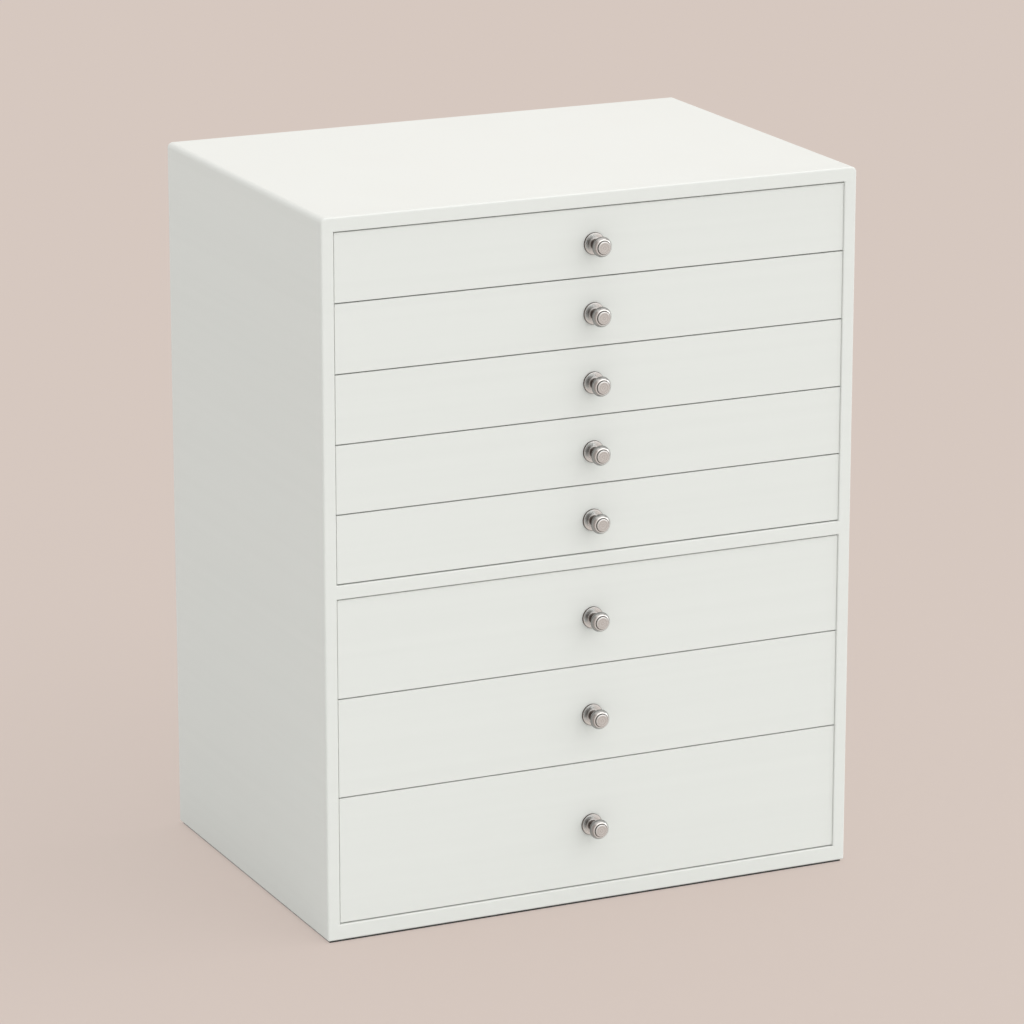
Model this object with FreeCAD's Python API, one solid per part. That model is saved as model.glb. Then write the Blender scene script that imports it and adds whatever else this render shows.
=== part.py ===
import FreeCAD, Part
import os

# Desktop jewelry organizer: a cabinet of rebated boards with a fixed middle shelf and eight drawers.
# The origin is the middle of the underside, +X is to the right, the drawers open towards -Y,
# and +Z is up. All sizes are in millimetres.

Vector = FreeCAD.Vector

# Cabinet
cabinet_width = 290.0
cabinet_depth = 202.0
side_thickness = 6.5
top_thickness = 7.2
bottom_thickness = 8.0
shelf_thickness = 7.0
back_thickness = 3.0
shoulder_radius = 2.8
outer_edge_radius = 0.9
base_edge_chamfer = 0.6
frame_edge_radius = 0.5
corner_lap = 3.0
back_rebate_width = 3.5
housing_depth = 2.5
housing_setback = 8.0
felt_thickness = 1.2
felt_inset = 1.5

# Drawer fronts
small_drawer_count = 5
small_front_height = 34.45
medium_drawer_count = 2
medium_front_height = 50.3
deep_front_height = 64.75
front_thickness = 9.0
front_recess = 1.0
front_gap = 0.6
front_side_gap = 0.3
front_edge_chamfer = 0.4

# Drawer boxes
box_side_thickness = 6.0
box_back_thickness = 6.0
box_bottom_thickness = 3.0
box_side_clearance = 1.0
box_rear_clearance = 3.0
box_rise = 1.0
box_drop = 2.5
front_rebate_depth = 4.0
bottom_rise = 1.5
bottom_groove_depth = 2.5

# Runners on the side panels
runner_height = 5.0
runner_reach = 4.0
runner_let_in = 1.5
runner_clearance = 0.3
runner_nose = 1.0

# Velvet lining and dividers
lining_thickness = 1.0
floor_pad_thickness = 1.5
lining_drop = 1.5
divider_thickness = 3.0
divider_drop = 4.0
lap_clearance = 0.1

# Compartments of each drawer from the top down, counted across and from front to back
column_counts = [1, 4, 3, 2, 3, 3, 2, 1]
row_counts = [1, 2, 2, 2, 1, 1, 1, 1]

# Ring roll cushion in the top drawer
ring_roll_count = 10
ring_roll_crown = 15.0
ring_roll_valley = 7.5
ring_roll_end_fall = 1.5
ring_roll_end_length = 5.0
ring_roll_clearance = 0.3

# Knob: radii, and lengths measured outwards from the front
knob_drop = 0.8
flange_radius = 5.6
flange_thickness = 0.9
neck_radius = 2.3
neck_length = 3.9
collar_radius = 3.3
collar_length = 3.2
head_radius = 5.0
head_length = 1.6
head_face_radius = 3.9
head_bevel_length = 2.2

# Stud that holds the knob, glued into a blind hole in the front
stud_radius = 1.5
stud_length = 6.5
stud_clearance = 0.1
stud_end_clearance = 0.5

# Planes worked out from the sizes above
half_width = cabinet_width / 2
inner_half_width = half_width - side_thickness
frame_front_y = -cabinet_depth / 2
frame_back_y = cabinet_depth / 2
bay_back_y = frame_back_y - back_thickness
front_face_y = frame_front_y + front_recess
front_back_y = front_face_y + front_thickness
rebate_shoulder_y = front_back_y - front_rebate_depth
stud_end_y = front_face_y + stud_length
box_back_y = bay_back_y - box_rear_clearance

base_z = felt_thickness
lower_bay_z = base_z + bottom_thickness
lower_bay_height = (deep_front_height + medium_drawer_count * medium_front_height
                    + (medium_drawer_count + 2) * front_gap)
shelf_z = lower_bay_z + lower_bay_height
upper_bay_z = shelf_z + shelf_thickness
upper_bay_height = small_drawer_count * small_front_height + (small_drawer_count + 1) * front_gap
ceiling_z = upper_bay_z + upper_bay_height
top_z = ceiling_z + top_thickness

front_half_width = inner_half_width - front_side_gap
box_outer_x = inner_half_width - box_side_clearance
box_inner_x = box_outer_x - box_side_thickness
lining_inner_x = box_inner_x - lining_thickness
lining_front_y = front_back_y + lining_thickness
lining_back_y = box_back_y - box_back_thickness - lining_thickness


def block(x_low, x_high, y_low, y_high, z_low, z_high):
    size = (x_high - x_low, y_high - y_low, z_high - z_low)
    return Part.makeBox(*size, Vector(x_low, y_low, z_low))


def centred_block(half_x, y_low, y_high, z_low, z_high):
    return block(-half_x, half_x, y_low, y_high, z_low, z_high)


def mirrored(shape):
    return shape.mirror(Vector(0, 0, 0), Vector(1, 0, 0))


def cylinder_along_y(radius, y_low, y_high, z):
    return Part.makeCylinder(radius, y_high - y_low, Vector(0, y_low, z), Vector(0, 1, 0))


def save(name, solids):
    shape = solids[0] if len(solids) == 1 else Part.makeCompound(solids)
    shape.exportStep("parts/" + name + ".step")


def front_spans():
    """Lowest and highest z of each drawer front, from the top drawer down."""
    spans = []
    z = lower_bay_z + front_gap
    for height in [deep_front_height] + [medium_front_height] * medium_drawer_count:
        spans.append((z, z + height))
        z += height + front_gap
    z = upper_bay_z + front_gap
    for _ in range(small_drawer_count):
        spans.append((z, z + small_front_height))
        z += small_front_height + front_gap
    return spans[::-1]


def runner_blank(z_middle, front_y, x_low, x_high, clearance):
    """Bar along the left side panel at a drawer's mid height."""
    reach = runner_height / 2 + clearance
    return block(x_low, x_high, front_y, bay_back_y, z_middle - reach, z_middle + reach)


def frame_blank():
    """The four boards and the shelf as one piece, rounded over as they are lacquered."""
    blank = centred_block(half_width, frame_front_y, frame_back_y, base_z, top_z)
    shoulders = [edge for edge in blank.Edges if edge.BoundBox.ZMin > top_z - 1 and edge.BoundBox.YLength > 1]
    blank = blank.makeFillet(shoulder_radius, shoulders)
    outlines = [edge for edge in blank.Edges if edge.BoundBox.ZMax > base_z + 1 and edge.BoundBox.YLength < 1]
    blank = blank.makeFillet(outer_edge_radius, outlines)
    base_edges = [edge for edge in blank.Edges if edge.BoundBox.ZMax < base_z + 1]
    blank = blank.makeChamfer(base_edge_chamfer, base_edges)
    for z_low, z_high in [(lower_bay_z, shelf_z), (upper_bay_z, ceiling_z)]:
        blank = blank.cut(centred_block(inner_half_width, frame_front_y - 1, frame_back_y + 1, z_low, z_high))
    rebate_half_width = inner_half_width + back_rebate_width
    blank = blank.cut(centred_block(rebate_half_width, bay_back_y, frame_back_y + 1,
                                    lower_bay_z - back_rebate_width, ceiling_z + back_rebate_width))
    mouth_edges = []
    for edge in blank.Edges:
        box = edge.BoundBox
        on_front = box.YMax < frame_front_y + 0.01
        if on_front and box.XMax < inner_half_width + 0.01 and box.XMin > -inner_half_width - 0.01:
            mouth_edges.append(edge)
    return blank.makeFillet(frame_edge_radius, mouth_edges)


def make_cabinet(spans):
    blank = frame_blank()
    side_region = block(-half_width - 1, -inner_half_width, frame_front_y - 1, frame_back_y + 1,
                        base_z + corner_lap, top_z - corner_lap)
    flat_boards = blank.cut([side_region, mirrored(side_region)])
    top = flat_boards.common(centred_block(half_width + 1, frame_front_y - 1, frame_back_y + 1,
                                           ceiling_z, top_z + 1))
    bottom = flat_boards.common(centred_block(half_width + 1, frame_front_y - 1, frame_back_y + 1,
                                              base_z - 1, lower_bay_z))
    shelf = blank.common(centred_block(inner_half_width, frame_front_y - 1, bay_back_y, shelf_z, upper_bay_z))
    tongue = block(-inner_half_width - housing_depth, -inner_half_width,
                   frame_front_y + housing_setback, bay_back_y, shelf_z, upper_bay_z)
    shelf = shelf.fuse([tongue, mirrored(tongue)]).removeSplitter()

    side = blank.common(side_region).cut(tongue)
    runners = []
    runner_front_y = rebate_shoulder_y + runner_clearance
    for z_low, z_high in spans:
        z_middle = (z_low + z_high) / 2
        runner = runner_blank(z_middle, runner_front_y, -inner_half_width - runner_let_in,
                              -inner_half_width + runner_reach, 0)
        side = side.cut(runner)
        nose_edges = []
        for edge in runner.Edges:
            box = edge.BoundBox
            if box.YMax < runner_front_y + 0.01 and box.ZLength < 0.01:
                nose_edges.append(edge)
        runners.append(runner.makeChamfer(runner_nose, nose_edges))

    back = centred_block(inner_half_width + back_rebate_width, bay_back_y, frame_back_y,
                         lower_bay_z - back_rebate_width, ceiling_z + back_rebate_width)
    felt = centred_block(half_width - felt_inset, frame_front_y + felt_inset, frame_back_y - felt_inset,
                         0, base_z)

    save("left_side_panel", [side])
    save("right_side_panel", [mirrored(side)])
    save("top_panel", [top])
    save("bottom_panel", [bottom])
    save("middle_shelf", [shelf])
    save("back_panel", [back])
    save("left_runners", runners)
    save("right_runners", [mirrored(runner) for runner in runners])
    save("felt_base", [felt])


def make_front(z_low, z_high):
    """Lacquered front, rebated for the box sides, grooved for the bottom and bored for the knob's stud."""
    z_knob = (z_low + z_high) / 2 - knob_drop
    front = centred_block(front_half_width, front_face_y, front_back_y, z_low, z_high)
    face_edges = [edge for edge in front.Edges if edge.BoundBox.YMax < front_face_y + 0.01]
    front = front.makeChamfer(front_edge_chamfer, face_edges)
    rebate = block(-front_half_width - 1, -box_inner_x, rebate_shoulder_y, front_back_y + 1,
                   z_low - 1, z_high + 1)
    bottom_z = z_low + box_rise + bottom_rise
    groove = centred_block(box_inner_x, front_back_y - bottom_groove_depth, front_back_y + 1,
                           bottom_z, bottom_z + box_bottom_thickness)
    hole = cylinder_along_y(stud_radius + stud_clearance, front_face_y - 1,
                            stud_end_y + stud_end_clearance, z_knob)
    return front.cut([rebate, mirrored(rebate), groove, hole])


def make_box(z_low, z_high):
    """Box sides with a runner groove outside and a bottom groove inside, a back board and a bottom."""
    side_low = z_low + box_rise
    side_high = z_high - box_drop
    bottom_low = side_low + bottom_rise
    bottom_high = bottom_low + box_bottom_thickness
    bottom_half_width = box_inner_x + bottom_groove_depth

    side = block(-box_outer_x, -box_inner_x, rebate_shoulder_y, box_back_y, side_low, side_high)
    runner_groove = runner_blank((z_low + z_high) / 2, rebate_shoulder_y - 1, -inner_half_width,
                                 -inner_half_width + runner_reach + runner_clearance, runner_clearance)
    bottom_groove = block(-bottom_half_width, -box_inner_x + 1, rebate_shoulder_y - 1, box_back_y + 1,
                          bottom_low, bottom_high)
    side = side.cut([runner_groove, bottom_groove])
    back = centred_block(box_inner_x, box_back_y - box_back_thickness, box_back_y, bottom_high, side_high)
    bottom = centred_block(bottom_half_width, front_back_y - bottom_groove_depth, box_back_y,
                           bottom_low, bottom_high)
    return [side, mirrored(side), back, bottom]


def pad_top(z_low):
    return z_low + box_rise + bottom_rise + box_bottom_thickness + floor_pad_thickness


def lining_top(z_high):
    return z_high - box_drop - lining_drop


def make_lining(z_low, z_high):
    """Open tray of velvet covered card inside the box."""
    tray = centred_block(box_inner_x, front_back_y, box_back_y - box_back_thickness,
                         pad_top(z_low) - floor_pad_thickness, lining_top(z_high))
    return tray.cut(centred_block(lining_inner_x, lining_front_y, lining_back_y,
                                  pad_top(z_low), lining_top(z_high) + 1))


def divider_centres(low, high, count):
    """Middles of the strips that split a span into equal compartments."""
    clear_length = (high - low - (count - 1) * divider_thickness) / count
    pitch = clear_length + divider_thickness
    return [low + pitch * number - divider_thickness / 2 for number in range(1, count)]


def make_dividers(z_low, z_high, columns, rows):
    """Strips across and front to back, half lapped where they cross."""
    low = pad_top(z_low)
    high = lining_top(z_high) - divider_drop
    middle = (low + high) / 2
    half = divider_thickness / 2
    slot_half = half + lap_clearance
    column_xs = divider_centres(-lining_inner_x, lining_inner_x, columns)
    row_ys = divider_centres(lining_front_y, lining_back_y, rows)
    strips = []
    for y in row_ys:
        strip = centred_block(lining_inner_x, y - half, y + half, low, high)
        for x in column_xs:
            strip = strip.cut(block(x - slot_half, x + slot_half, y - half, y + half, middle, high + 1))
        strips.append(strip)
    for x in column_xs:
        strip = block(x - half, x + half, lining_front_y, lining_back_y, low, high)
        for y in row_ys:
            strip = strip.cut(block(x - half, x + half, y - slot_half, y + slot_half, low - 1, middle))
        strips.append(strip)
    return strips


def ring_roll_section(x, z_floor, crown):
    """Closed outline across the rolls: a flat underside and one arc over each roll."""
    y_low = lining_front_y + ring_roll_clearance
    y_high = lining_back_y - ring_roll_clearance
    pitch = (y_high - y_low) / ring_roll_count
    valley_z = z_floor + ring_roll_valley
    edges = []
    for number in range(ring_roll_count):
        start = Vector(x, y_low + number * pitch, valley_z)
        top = Vector(x, y_low + (number + 0.5) * pitch, z_floor + crown)
        end = Vector(x, y_low + (number + 1) * pitch, valley_z)
        edges.append(Part.Arc(start, top, end).toShape())
    corners = [Vector(x, y_high, valley_z), Vector(x, y_high, z_floor),
               Vector(x, y_low, z_floor), Vector(x, y_low, valley_z)]
    for start, end in zip(corners, corners[1:]):
        edges.append(Part.LineSegment(start, end).toShape())
    return Part.Wire(edges)


def make_ring_rolls(z_low):
    """Cushion of padded rolls from side to side, lower towards its sewn ends."""
    end_x = lining_inner_x - ring_roll_clearance
    floor = pad_top(z_low)
    end_crown = ring_roll_crown - ring_roll_end_fall
    stations = [(-end_x, end_crown), (ring_roll_end_length - end_x, ring_roll_crown),
                (end_x - ring_roll_end_length, ring_roll_crown), (end_x, end_crown)]
    sections = [ring_roll_section(x, floor, crown) for x, crown in stations]
    return Part.makeLoft(sections, True, True)


def make_knob(z_low, z_high):
    """Turned knob on its stud: flange, neck, collar and bevelled head."""
    z_knob = (z_low + z_high) / 2 - knob_drop
    steps = [(flange_radius, flange_thickness), (neck_radius, 0), (neck_radius, neck_length),
             (collar_radius, 0), (collar_radius, collar_length), (head_radius, 0), (head_radius, head_length),
             (head_face_radius, head_bevel_length)]
    y = front_face_y
    points = [Vector(0, stud_end_y, z_knob), Vector(0, stud_end_y, z_knob + stud_radius),
              Vector(0, y, z_knob + stud_radius), Vector(0, y, z_knob + flange_radius)]
    for radius, length in steps:
        y -= length
        points.append(Vector(0, y, z_knob + radius))
    points.append(Vector(0, y, z_knob))
    face = Part.Face(Part.makePolygon(points + points[:1]))
    return face.revolve(Vector(0, 0, z_knob), Vector(0, 1, 0), 360)


def make_drawer(name, z_low, z_high, columns, rows):
    save(name + "_front", [make_front(z_low, z_high)])
    save(name + "_box", make_box(z_low, z_high))
    save(name + "_lining", [make_lining(z_low, z_high)])
    if columns * rows > 1:
        save(name + "_dividers", make_dividers(z_low, z_high, columns, rows))
    save(name + "_knob", [make_knob(z_low, z_high)])


os.makedirs("parts", exist_ok=True)
spans = front_spans()
make_cabinet(spans)
for number, (span, columns, rows) in enumerate(zip(spans, column_counts, row_counts), 1):
    make_drawer("drawer_%d" % number, *span, columns, rows)
save("drawer_1_ring_rolls", [make_ring_rolls(spans[0][0])])
print("height %.2f mm, %d drawers" % (top_z, len(spans)))
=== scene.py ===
import math

import bmesh
import bpy
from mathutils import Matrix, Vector


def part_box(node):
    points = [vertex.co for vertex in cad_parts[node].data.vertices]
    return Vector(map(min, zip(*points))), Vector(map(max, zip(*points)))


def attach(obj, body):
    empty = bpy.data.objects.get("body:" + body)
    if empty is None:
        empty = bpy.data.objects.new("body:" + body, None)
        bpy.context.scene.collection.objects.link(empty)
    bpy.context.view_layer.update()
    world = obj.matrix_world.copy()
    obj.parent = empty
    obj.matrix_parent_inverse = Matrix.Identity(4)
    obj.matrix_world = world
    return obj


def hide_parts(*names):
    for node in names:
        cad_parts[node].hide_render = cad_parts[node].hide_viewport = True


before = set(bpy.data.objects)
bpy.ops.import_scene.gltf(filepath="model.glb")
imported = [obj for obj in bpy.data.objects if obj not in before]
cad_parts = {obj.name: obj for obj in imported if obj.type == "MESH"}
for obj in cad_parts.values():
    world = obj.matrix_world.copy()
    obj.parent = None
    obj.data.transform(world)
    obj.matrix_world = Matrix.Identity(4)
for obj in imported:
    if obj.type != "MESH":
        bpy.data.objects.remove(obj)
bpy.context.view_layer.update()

# The view. The organizer is seen from above and from its left, through a long lens, so its
# uprights stay nearly parallel. The lens has no shift.
view_lens_mm = 176.1
view_from = (-1.045, -2.252, 0.875)
view_tilt = math.radians(74.35)
view_turn = math.radians(-24.94)
view_reach = 200
sensor_width_mm = 36

bpy.context.scene.view_settings.view_transform = "Standard"
bpy.ops.object.camera_add(location=view_from, rotation=(view_tilt, 0, view_turn))
camera = bpy.context.object
camera.name = "product_camera"
camera.data.lens = view_lens_mm
camera.data.sensor_width = sensor_width_mm
camera.data.clip_end = view_reach
bpy.context.scene.camera = camera

# The room. The organizer stands on a wide beige table that runs into a wall of the same beige,
# lit by a soft overcast glow, a ceiling panel, a large window at its front right and a smaller
# lamp at its right that gives the knobs their glint.
beige = (0.6654, 0.5711, 0.5210, 1)
room_glow = (0.93, 0.93, 0.925, 1)
room_glow_level = 0.72
table_span = 60
table_color = (0.600, 0.514, 0.468, 1)
table_bounce_color = (0.70, 0.70, 0.685, 1)
table_shade_share = 0.35
ceiling_level = 1.17
ceiling_spread = math.radians(84)
ceiling_from = (0.15, -0.15, 0.98)
window_level = 0.73
window_spread = math.radians(80)
window_from = (0.50, -0.82, 0.26)
glint_level = 0.40
glint_spread = math.radians(24)
glint_from = (0.95, -0.10, 0.30)
lamp_color = (1.0, 0.995, 0.975)


def background_rays(tree):
    """1 for rays that should meet the plain background: seen directly, mirrored or through glass."""
    path = tree.nodes.new("ShaderNodeLightPath")
    seen = tree.nodes.new("ShaderNodeMath")
    seen.operation = "MAXIMUM"
    tree.links.new(path.outputs["Is Camera Ray"], seen.inputs[0])
    tree.links.new(path.outputs["Is Glossy Ray"], seen.inputs[1])
    also = tree.nodes.new("ShaderNodeMath")
    also.operation = "MAXIMUM"
    tree.links.new(seen.outputs[0], also.inputs[0])
    tree.links.new(path.outputs["Is Transmission Ray"], also.inputs[1])
    return also.outputs[0]


world = bpy.data.worlds.new("studio")
bpy.context.scene.world = world
world.use_nodes = True
sky = world.node_tree
sky.nodes.clear()
glow = sky.nodes.new("ShaderNodeBackground")
glow.inputs["Color"].default_value = room_glow
glow.inputs["Strength"].default_value = room_glow_level
wall = sky.nodes.new("ShaderNodeBackground")
wall.inputs["Color"].default_value = beige
wall_or_glow = sky.nodes.new("ShaderNodeMixShader")
sky_out = sky.nodes.new("ShaderNodeOutputWorld")
sky.links.new(background_rays(sky), wall_or_glow.inputs[0])
sky.links.new(glow.outputs[0], wall_or_glow.inputs[1])
sky.links.new(wall.outputs[0], wall_or_glow.inputs[2])
sky.links.new(wall_or_glow.outputs[0], sky_out.inputs[0])

for lamp_name, lamp_level, lamp_spread, lamp_from in (
        ("ceiling_panel", ceiling_level, ceiling_spread, ceiling_from),
        ("window", window_level, window_spread, window_from),
        ("glint_lamp", glint_level, glint_spread, glint_from)):
    bpy.ops.object.light_add(type="SUN", location=lamp_from)
    lamp = bpy.context.object
    lamp.name = lamp_name
    lamp.rotation_euler = Vector(lamp_from).to_track_quat("Z", "Y").to_euler()
    lamp.data.energy = lamp_level
    lamp.data.angle = lamp_spread
    lamp.data.color = lamp_color

bpy.ops.mesh.primitive_plane_add(size=table_span, location=(0, 0, 0))
table = bpy.context.object
table.name = "table_top"
table_paint = bpy.data.materials.new("beige_table")
table_paint.use_nodes = True
paint = table_paint.node_tree
paint.nodes.clear()
seen_table = background_rays(paint)
lit = paint.nodes.new("ShaderNodeBsdfDiffuse")
lit_color = paint.nodes.new("ShaderNodeMix")
lit_color.data_type = "RGBA"
lit_color.inputs["A"].default_value = table_bounce_color
lit_color.inputs["B"].default_value = table_color
paint.links.new(seen_table, lit_color.inputs["Factor"])
paint.links.new(lit_color.outputs["Result"], lit.inputs["Color"])
plain = paint.nodes.new("ShaderNodeEmission")
plain.inputs["Color"].default_value = beige
share = paint.nodes.new("ShaderNodeMath")
share.operation = "MULTIPLY"
share.inputs[1].default_value = 1 - table_shade_share
table_mix = paint.nodes.new("ShaderNodeMixShader")
table_out = paint.nodes.new("ShaderNodeOutputMaterial")
paint.links.new(seen_table, share.inputs[0])
paint.links.new(share.outputs[0], table_mix.inputs[0])
paint.links.new(lit.outputs[0], table_mix.inputs[1])
paint.links.new(plain.outputs[0], table_mix.inputs[2])
paint.links.new(table_mix.outputs[0], table_out.inputs["Surface"])
table.data.materials.append(table_paint)


# The cabinet. Two sides, a top, a bottom, a fixed shelf and a back, all fibreboard, sprayed with
# white satin lacquer after gluing so that no joint shows, with faint level streaks from rubbing down.
lacquer_stops = [(0.35, (0.803, 0.817, 0.791, 1)), (0.62, (0.812, 0.826, 0.800, 1))]
lacquer_roughness = 0.445
lacquer_roughness_change = 0.035
lacquer_gloss = 0.25
lacquer_cloud_scale = 30
streak_stretch = (2.5, 2.5, 210)
streak_detail = 4.0
streak_depth = 0.000006
spray_grain_scale = 1400
spray_grain_detail = 1.0
spray_grain_depth = 0.0000025
boards = ("left_side_panel", "right_side_panel", "top_panel", "bottom_panel", "middle_shelf", "back_panel")


def new_material(name, roughness, metallic=0.0):
    """A material with a bare shader, and the texture coordinates that its pattern starts from."""
    material = bpy.data.materials.new(name)
    material.use_nodes = True
    tree = material.node_tree
    shader = tree.nodes["Principled BSDF"]
    shader.inputs["Roughness"].default_value = roughness
    shader.inputs["Metallic"].default_value = metallic
    place = tree.nodes.new("ShaderNodeTexCoord")
    return material, tree, shader, place.outputs["Object"]


def noise(tree, place, scale, detail=3.0, stretch=(1, 1, 1)):
    """A cloudy pattern, stretched along the axes where stretch is small."""
    mapping = tree.nodes.new("ShaderNodeMapping")
    mapping.inputs["Scale"].default_value = stretch
    texture = tree.nodes.new("ShaderNodeTexNoise")
    texture.inputs["Scale"].default_value = scale
    texture.inputs["Detail"].default_value = detail
    tree.links.new(place, mapping.inputs["Vector"])
    tree.links.new(mapping.outputs["Vector"], texture.inputs["Vector"])
    return texture.outputs["Fac"]


def ramp(tree, fac, stops):
    """Colours along a pattern; stops are (place, colour)."""
    node = tree.nodes.new("ShaderNodeValToRGB")
    band = node.color_ramp
    while len(band.elements) < len(stops):
        band.elements.new(0.5)
    for element, (position, color) in zip(band.elements, stops):
        element.position = position
        element.color = color
    tree.links.new(fac, node.inputs["Fac"])
    return node.outputs["Color"]


def vary(tree, fac, middle, change):
    """The pattern as a number that goes up and down by the change around the middle."""
    node = tree.nodes.new("ShaderNodeMapRange")
    node.inputs["From Min"].default_value = 0.3
    node.inputs["From Max"].default_value = 0.7
    node.inputs["To Min"].default_value = middle - change
    node.inputs["To Max"].default_value = middle + change
    tree.links.new(fac, node.inputs["Value"])
    return node.outputs["Result"]


def relief(tree, shader, fac, depth, under=None):
    """Bumps of that depth in metres; under is another relief that this one lies on."""
    bump = tree.nodes.new("ShaderNodeBump")
    bump.inputs["Strength"].default_value = 1.0
    bump.inputs["Distance"].default_value = depth
    tree.links.new(fac, bump.inputs["Height"])
    if under is not None:
        tree.links.new(under.outputs["Normal"], bump.inputs["Normal"])
    tree.links.new(bump.outputs["Normal"], shader.inputs["Normal"])
    return bump


lacquer, tree, shader, place = new_material("white_satin_lacquer", lacquer_roughness)
shader.inputs["Specular IOR Level"].default_value = lacquer_gloss
streaks = noise(tree, place, 1.0, streak_detail, streak_stretch)
clouds = noise(tree, place, lacquer_cloud_scale)
spray_grain = noise(tree, place, spray_grain_scale, spray_grain_detail)
satin = vary(tree, clouds, lacquer_roughness, lacquer_roughness_change)
tree.links.new(ramp(tree, streaks, lacquer_stops), shader.inputs["Base Color"])
tree.links.new(satin, shader.inputs["Roughness"])
rubbed = relief(tree, shader, streaks, streak_depth)
relief(tree, shader, spray_grain, spray_grain_depth, rubbed)


def finish_node(node, material):
    """Gives a CAD node a better material."""
    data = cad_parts[node].data
    data.materials.clear()
    data.materials.append(material)


for board in boards:
    finish_node(board, lacquer)

# The runners. Eight pairs of sanded beech strips, let into the side panels, on which the grooved
# drawer sides slide. Their grain runs from front to back.
beech_stops = [(0.30, (0.50, 0.33, 0.19, 1)), (0.55, (0.62, 0.44, 0.27, 1)), (0.75, (0.70, 0.52, 0.34, 1))]
beech_roughness = 0.55
beech_grain_scale = 260
beech_grain_detail = 6.0
beech_grain_stretch = (1, 0.05, 1)
beech_grain_depth = 0.00003

beech, tree, shader, place = new_material("sanded_beech", beech_roughness)
grain = noise(tree, place, beech_grain_scale, beech_grain_detail, beech_grain_stretch)
tree.links.new(ramp(tree, grain, beech_stops), shader.inputs["Base Color"])
relief(tree, shader, grain, beech_grain_depth)
for strips in ("left_runners", "right_runners"):
    finish_node(strips, beech)

# The felt base. A dark sheet of pressed felt, glued under the cabinet so that it doesn't scratch.
felt_stops = [(0.3, (0.035, 0.032, 0.030, 1)), (0.7, (0.075, 0.070, 0.066, 1))]
felt_roughness = 0.95
felt_sheen = 0.3
fibre_scale = 1500
fibre_detail = 5.0
fibre_depth = 0.00015

felt, tree, shader, place = new_material("pressed_felt", felt_roughness)
fibres = noise(tree, place, fibre_scale, fibre_detail)
tree.links.new(ramp(tree, fibres, felt_stops), shader.inputs["Base Color"])
shader.inputs["Sheen Weight"].default_value = felt_sheen
relief(tree, shader, fibres, fibre_depth)
finish_node("felt_base", felt)

# The drawer fronts. Fibreboard panels sprayed with the cabinet's lacquer, their arrises barely
# broken. They are rebated at the back for the box sides, which are glued and pinned in. Each has a
# little play and leans to the right of its opening, as in the photo.
drawers = range(1, 9)
front_arris = 0.00012
front_arris_segments = 2
front_sharpening = 0.00025
front_face_depth = 0.0006
front_play = 0.00025
knob_bore_reach = 0.010
merge_distance = 0.000002
flat_angle = math.radians(1)
arris_angle = math.radians(25)
smooth_angle = math.radians(50)


def make_active(piece):
    """Selects one piece alone and makes it the one that is worked on."""
    bpy.ops.object.select_all(action="DESELECT")
    bpy.context.view_layer.objects.active = piece
    piece.select_set(True)


def cad_copy(node, name):
    """A copy of a CAD node, with the triangles of its flat faces merged."""
    piece = bpy.data.objects.new(name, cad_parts[node].data.copy())
    bpy.context.scene.collection.objects.link(piece)
    piece.data.materials.clear()
    make_active(piece)
    bpy.ops.object.mode_set(mode="EDIT")
    bpy.ops.mesh.select_all(action="SELECT")
    bpy.ops.mesh.remove_doubles(threshold=merge_distance)
    bpy.ops.mesh.dissolve_limited(angle_limit=flat_angle)
    bpy.ops.object.mode_set(mode="OBJECT")
    return piece


def round_over(piece, width, segments, material):
    """Rounds a piece's arrises over, smooths them and gives it its material."""
    make_active(piece)
    bevel = piece.modifiers.new("rounding", "BEVEL")
    bevel.width = width
    bevel.segments = segments
    bevel.limit_method = "ANGLE"
    bevel.angle_limit = arris_angle
    bpy.ops.object.modifier_apply(modifier=bevel.name)
    bpy.ops.object.shade_smooth_by_angle(angle=smooth_angle)
    flats = piece.modifiers.new("flat_faces", "WEIGHTED_NORMAL")
    flats.keep_sharp = True
    bpy.ops.object.modifier_apply(modifier=flats.name)
    piece.data.materials.append(material)


for number in drawers:
    node = f"drawer_{number}_front"
    front = cad_copy(node, f"front_{number}")
    low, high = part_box(node)
    # Most of the CAD model's chamfer is filled up: its front edge moves outwards and its back edge
    # forwards. The edge of the knob's bore stays.
    for vertex in front.data.vertices:
        behind_face = vertex.co.y - low.y
        if behind_face < front_sharpening and abs(vertex.co.x) > knob_bore_reach:
            vertex.co.x += math.copysign(front_sharpening, vertex.co.x)
            vertex.co.z += math.copysign(front_sharpening, vertex.co.z - (low.z + high.z) / 2)
        elif behind_face < front_face_depth:
            vertex.co.y = max(vertex.co.y - front_sharpening, low.y)
        vertex.co.x += front_play
    round_over(front, front_arris, front_arris_segments, lacquer)
    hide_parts(node)
    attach(front, f"drawer_{number}")

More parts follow.
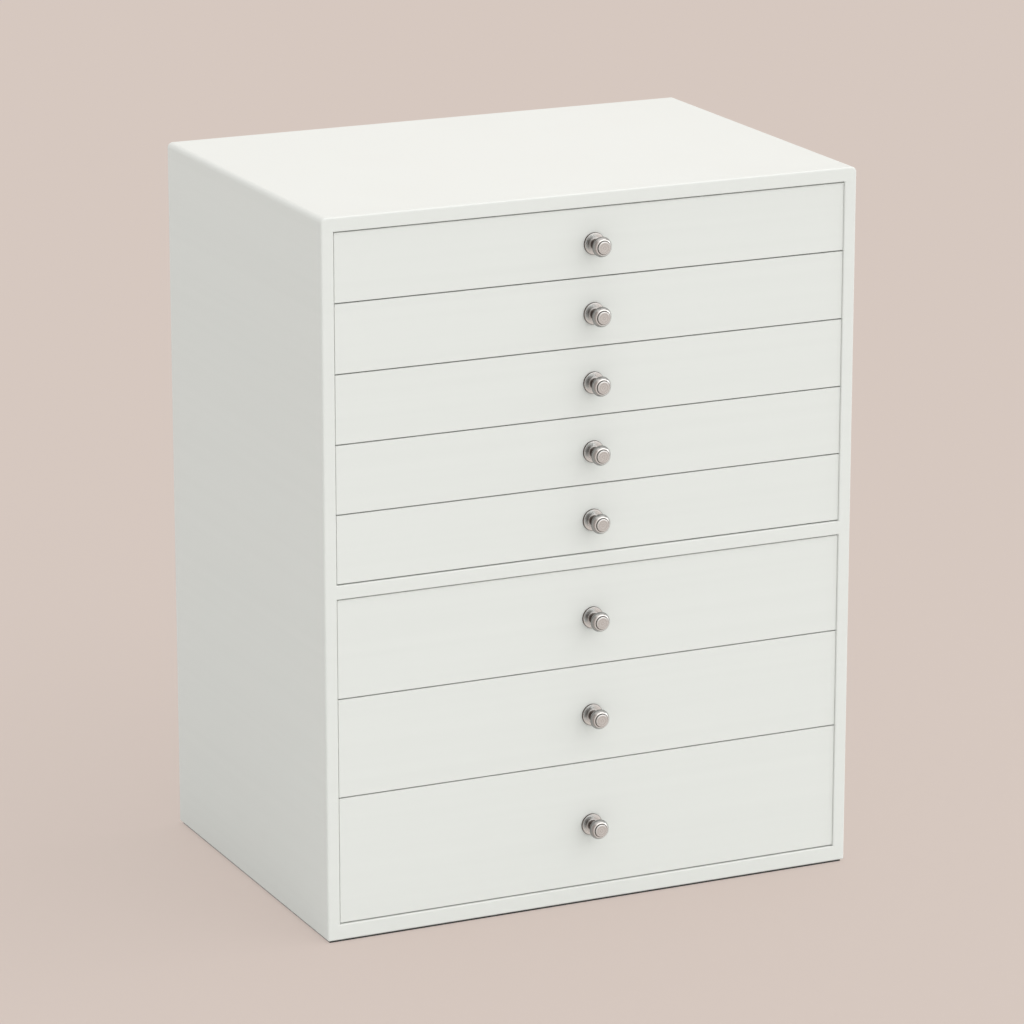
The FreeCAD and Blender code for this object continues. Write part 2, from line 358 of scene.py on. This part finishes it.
# The knobs. Turned brass with a satin nickel plate: a round flange against the front, a slim neck
# that widens in two steps, and a head with a broad bevel round a raised disc with turning marks.
# Painted shade and painted dark reflections darken the plate's colour in its hollows, rims and bevel.
knob_sides = 72
knob_rings = [
    # radius and distance from the front in millimetres, and how much painted shade darkens the plate, from
    # 0 to 1
    (5.60, 0.00, 1.0), (5.62, 0.40, 1.0), (5.58, 0.66, 1.0), (5.46, 0.80, 0.9), (5.30, 0.86, 0.1),
    (5.10, 0.89, 0.0), (4.60, 0.91, 0.0), (3.90, 0.94, 0.1), (3.20, 0.98, 0.2), (2.80, 1.05, 0.45),
    (2.52, 1.25, 0.9), (2.36, 1.60, 1.0), (2.28, 2.60, 1.0), (2.32, 3.60, 1.0), (2.50, 4.30, 1.0),
    (2.85, 4.75, 0.8), (3.20, 5.00, 0.5), (3.32, 5.35, 0.4), (3.34, 5.90, 0.6), (3.24, 6.40, 1.0),
    (3.30, 6.90, 0.8), (3.60, 7.35, 0.4), (4.10, 7.72, 0.3), (4.62, 7.95, 0.3), (4.90, 8.15, 0.5),
    (5.04, 8.45, 0.85), (5.10, 8.80, 0.9), (5.08, 9.15, 0.8), (4.98, 9.50, 0.6), (4.84, 9.80, 0.7),
    (4.64, 10.14, 0.55), (4.42, 10.44, 0.65), (4.20, 10.70, 0.45), (4.02, 10.88, 0.1), (3.82, 11.00, 0.0),
    (3.62, 11.06, 0.0), (3.50, 11.04, 0.5), (3.40, 10.96, 1.0), (3.30, 10.96, 1.0), (3.22, 11.12, 1.0),
    (3.20, 11.45, 0.5), (3.13, 11.66, 0.1), (2.98, 11.77, 0.05), (2.65, 11.80, 0.1), (2.10, 11.77, 0.2),
    (1.40, 11.75, 0.1), (0.70, 11.74, 0.2), (0.25, 11.74, 0.1)]
nickel_stops = [(0.30, (0.815, 0.850, 0.860, 1)), (0.70, (0.925, 0.965, 0.975, 1))]
# The colour of the painted shade and painted dark reflections on the plate.
painted_shade_color = (0.085, 0.074, 0.068, 1)
nickel_roughness = 0.29
nickel_roughness_change = 0.07
turning_scale = 4.5
turning_detail = 4.0
turning_depth = 0.000012
knob_smooth_angle = math.radians(35)

nickel, tree, shader, place = new_material("satin_nickel_plate", nickel_roughness, 1.0)
turned = tree.nodes.new("ShaderNodeAttribute")
turned.attribute_name = "turning"
marks = tree.nodes.new("ShaderNodeTexNoise")
marks.noise_dimensions = "1D"
marks.inputs["Scale"].default_value = turning_scale
marks.inputs["Detail"].default_value = turning_detail
tree.links.new(turned.outputs["Fac"], marks.inputs["W"])
# The plate's colour is mixed towards the painted shade colour by each ring's painted shade.
painted_shade = tree.nodes.new("ShaderNodeAttribute")
painted_shade.attribute_name = "painted_shade"
plate = tree.nodes.new("ShaderNodeMix")
plate.data_type = "RGBA"
plate.inputs["B"].default_value = painted_shade_color
tree.links.new(painted_shade.outputs["Fac"], plate.inputs["Factor"])
tree.links.new(ramp(tree, marks.outputs["Fac"], nickel_stops), plate.inputs["A"])
tree.links.new(plate.outputs["Result"], shader.inputs["Base Color"])
satin = vary(tree, marks.outputs["Fac"], nickel_roughness, nickel_roughness_change)
tree.links.new(satin, shader.inputs["Roughness"])
relief(tree, shader, marks.outputs["Fac"], turning_depth)


def turn_knob(name, centre, face_y):
    """A disc, drawn out ring by ring along the profile, away from the front."""
    middle = Vector((centre[0], face_y, centre[1]))
    bpy.ops.object.select_all(action="DESELECT")
    bpy.ops.mesh.primitive_circle_add(vertices=knob_sides, radius=knob_rings[0][0] / 1000,
                                      fill_type="NGON", location=middle, rotation=(math.pi / 2, 0, 0))
    knob = bpy.context.object
    knob.name = name
    bpy.ops.object.transform_apply(location=True, rotation=True, scale=True)
    bpy.ops.object.mode_set(mode="EDIT")
    bpy.ops.mesh.select_mode(type="FACE")
    bpy.ops.mesh.select_all(action="SELECT")
    run = [0.0]
    for (radius, out, _), (next_radius, next_out, _) in zip(knob_rings, knob_rings[1:]):
        bpy.ops.mesh.extrude_region_move(TRANSFORM_OT_translate={"value": (0, (out - next_out) / 1000, 0)})
        ratio = next_radius / radius
        bpy.ops.transform.resize(value=(ratio, 1, ratio), center_override=middle)
        run.append(run[-1] + math.hypot(next_radius - radius, next_out - out))
    bpy.ops.mesh.select_all(action="SELECT")
    bpy.ops.mesh.normals_make_consistent(inside=False)
    bpy.ops.object.mode_set(mode="OBJECT")
    turning = knob.data.attributes.new("turning", "FLOAT", "POINT")
    # Each vertex gets its ring's painted shade, which darkens the plate's colour.
    painted_shade = knob.data.attributes.new("painted_shade", "FLOAT", "POINT")
    for index, vertex in enumerate(knob.data.vertices):
        out = (face_y - vertex.co.y) * 1000
        radius = math.hypot(vertex.co.x - centre[0], vertex.co.z - centre[1]) * 1000
        misses = [abs(ring[0] - radius) + abs(ring[1] - out) for ring in knob_rings]
        nearest = misses.index(min(misses))
        turning.data[index].value = run[nearest]
        painted_shade.data[index].value = knob_rings[nearest][2]
    bpy.ops.object.shade_smooth_by_angle(angle=knob_smooth_angle)
    knob.data.materials.append(nickel)
    return knob


for number in drawers:
    low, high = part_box(f"drawer_{number}_knob")
    centre = ((low.x + high.x) / 2, (low.z + high.z) / 2)
    face_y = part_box(f"drawer_{number}_front")[0].y
    knob = turn_knob(f"knob_{number}", centre, face_y)
    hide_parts(f"drawer_{number}_knob")
    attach(knob, f"drawer_{number}")

# The drawer boxes. Thin fibreboard covered with a white foil with a faint grain, grooved on the
# outside for the runners and inside for the bottom.
foil_stops = [(0.3, (0.690, 0.680, 0.650, 1)), (0.7, (0.740, 0.732, 0.705, 1))]
foil_roughness = 0.48
foil_grain_scale = 420
foil_grain_detail = 4.0
foil_grain_stretch = (1, 0.06, 1)
foil_grain_depth = 0.00002

foil, tree, shader, place = new_material("white_foil", foil_roughness)
foil_grain = noise(tree, place, foil_grain_scale, foil_grain_detail, foil_grain_stretch)
tree.links.new(ramp(tree, foil_grain, foil_stops), shader.inputs["Base Color"])
relief(tree, shader, foil_grain, foil_grain_depth)
for number in drawers:
    finish_node(f"drawer_{number}_box", foil)

# The linings and dividers. Card and board wrapped in short pile velvet, so their edges are soft.
# The dividers cross in half laps and lift out.
velvet_stops = [(0.25, (0.385, 0.330, 0.290, 1)), (0.75, (0.500, 0.440, 0.392, 1))]
velvet_roughness = 0.92
velvet_sheen = 0.85
velvet_sheen_roughness = 0.35
velvet_sheen_tint = (0.95, 0.90, 0.85, 1)
brushed_scale = 38
pile_scale = 2600
pile_detail = 2.0
pile_share = 0.12
pile_depth = 0.00018
soft_edges = [
    # piece, width of its rounded edges and the segments across them
    ("lining", 0.0004, 2),
    ("dividers", 0.0007, 3)]

velvet, tree, shader, place = new_material("taupe_velvet", velvet_roughness)
shader.inputs["Sheen Weight"].default_value = velvet_sheen
shader.inputs["Sheen Roughness"].default_value = velvet_sheen_roughness
shader.inputs["Sheen Tint"].default_value = velvet_sheen_tint
brushed = noise(tree, place, brushed_scale)
pile = noise(tree, place, pile_scale, pile_detail)
both = tree.nodes.new("ShaderNodeMath")
both.operation = "ADD"
tree.links.new(brushed, both.inputs[0])
tree.links.new(vary(tree, pile, 0, pile_share), both.inputs[1])
tree.links.new(ramp(tree, both.outputs[0], velvet_stops), shader.inputs["Base Color"])
relief(tree, shader, pile, pile_depth)

for number in drawers:
    for part, edge_width, segments in soft_edges:
        node = f"drawer_{number}_{part}"
        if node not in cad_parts:
            continue
        covered = cad_copy(node, f"{part}_{number}")
        round_over(covered, edge_width, segments, velvet)
        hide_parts(node)
        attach(covered, f"drawer_{number}")

# The ring rolls. One foam cushion in a velvet cover in the top drawer, its rolls sewn down side by
# side from wall to wall so that rings are held between them, and drawn in at the ends.
roll_count = 10
roll_valley = 0.0062
roll_crown = 0.0147
roll_swell_power = 0.62
roll_end_fall = 0.0022
roll_end_length = 0.011
ripple_height = 0.00022
long_ripple_pace = 170
long_ripple_shift = 2.3
short_ripple_pace = 410
short_ripple_shift = 1.1
pucker_height = 0.00035
puckers_per_roll = 3
roll_steps = 18
roll_slices = 130
roll_smooth_angle = math.radians(60)

low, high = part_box("drawer_1_ring_rolls")
bpy.ops.object.select_all(action="DESELECT")
bpy.ops.mesh.primitive_grid_add(x_subdivisions=roll_slices,
                                y_subdivisions=roll_count * roll_steps, size=1)
rolls = bpy.context.object
rolls.name = "ring_rolls"
bpy.ops.transform.resize(value=(high.x - low.x, high.y - low.y, 1))
bpy.ops.transform.translate(value=((low.x + high.x) / 2, (low.y + high.y) / 2, low.z))
bpy.ops.object.transform_apply(location=True, rotation=True, scale=True)
bpy.ops.object.mode_set(mode="EDIT")
bpy.ops.mesh.select_all(action="SELECT")
bpy.ops.mesh.extrude_region_move(TRANSFORM_OT_translate={"value": (0, 0, roll_crown)})
cover = bmesh.from_edit_mesh(rolls.data)
for vertex in cover.verts:
    if not vertex.select:
        continue
    across = (vertex.co.y - low.y) / (high.y - low.y) * roll_count
    roll = min(int(across), roll_count - 1)
    swell = max(math.sin(math.pi * (across - roll)), 0.0) ** roll_swell_power
    from_end = min(vertex.co.x - low.x, high.x - vertex.co.x)
    end = 1 - min(from_end / roll_end_length, 1.0)
    draw_in = roll_end_fall * end ** 3
    long_ripple = math.sin(long_ripple_pace * vertex.co.x + long_ripple_shift * roll)
    short_ripple = math.sin(short_ripple_pace * vertex.co.x + short_ripple_shift * roll * roll)
    pucker = pucker_height * end ** 2 * math.sin(across * math.tau * puckers_per_roll)
    fullness = roll_crown - roll_valley + ripple_height * long_ripple * short_ripple + pucker
    vertex.co.z = low.z + roll_valley + fullness * swell - draw_in
bmesh.update_edit_mesh(rolls.data)
bpy.ops.mesh.select_all(action="SELECT")
bpy.ops.mesh.normals_make_consistent(inside=False)
bpy.ops.object.mode_set(mode="OBJECT")
bpy.ops.object.shade_smooth_by_angle(angle=roll_smooth_angle)
rolls.data.materials.append(velvet)
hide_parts("drawer_1_ring_rolls")
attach(rolls, "drawer_1")
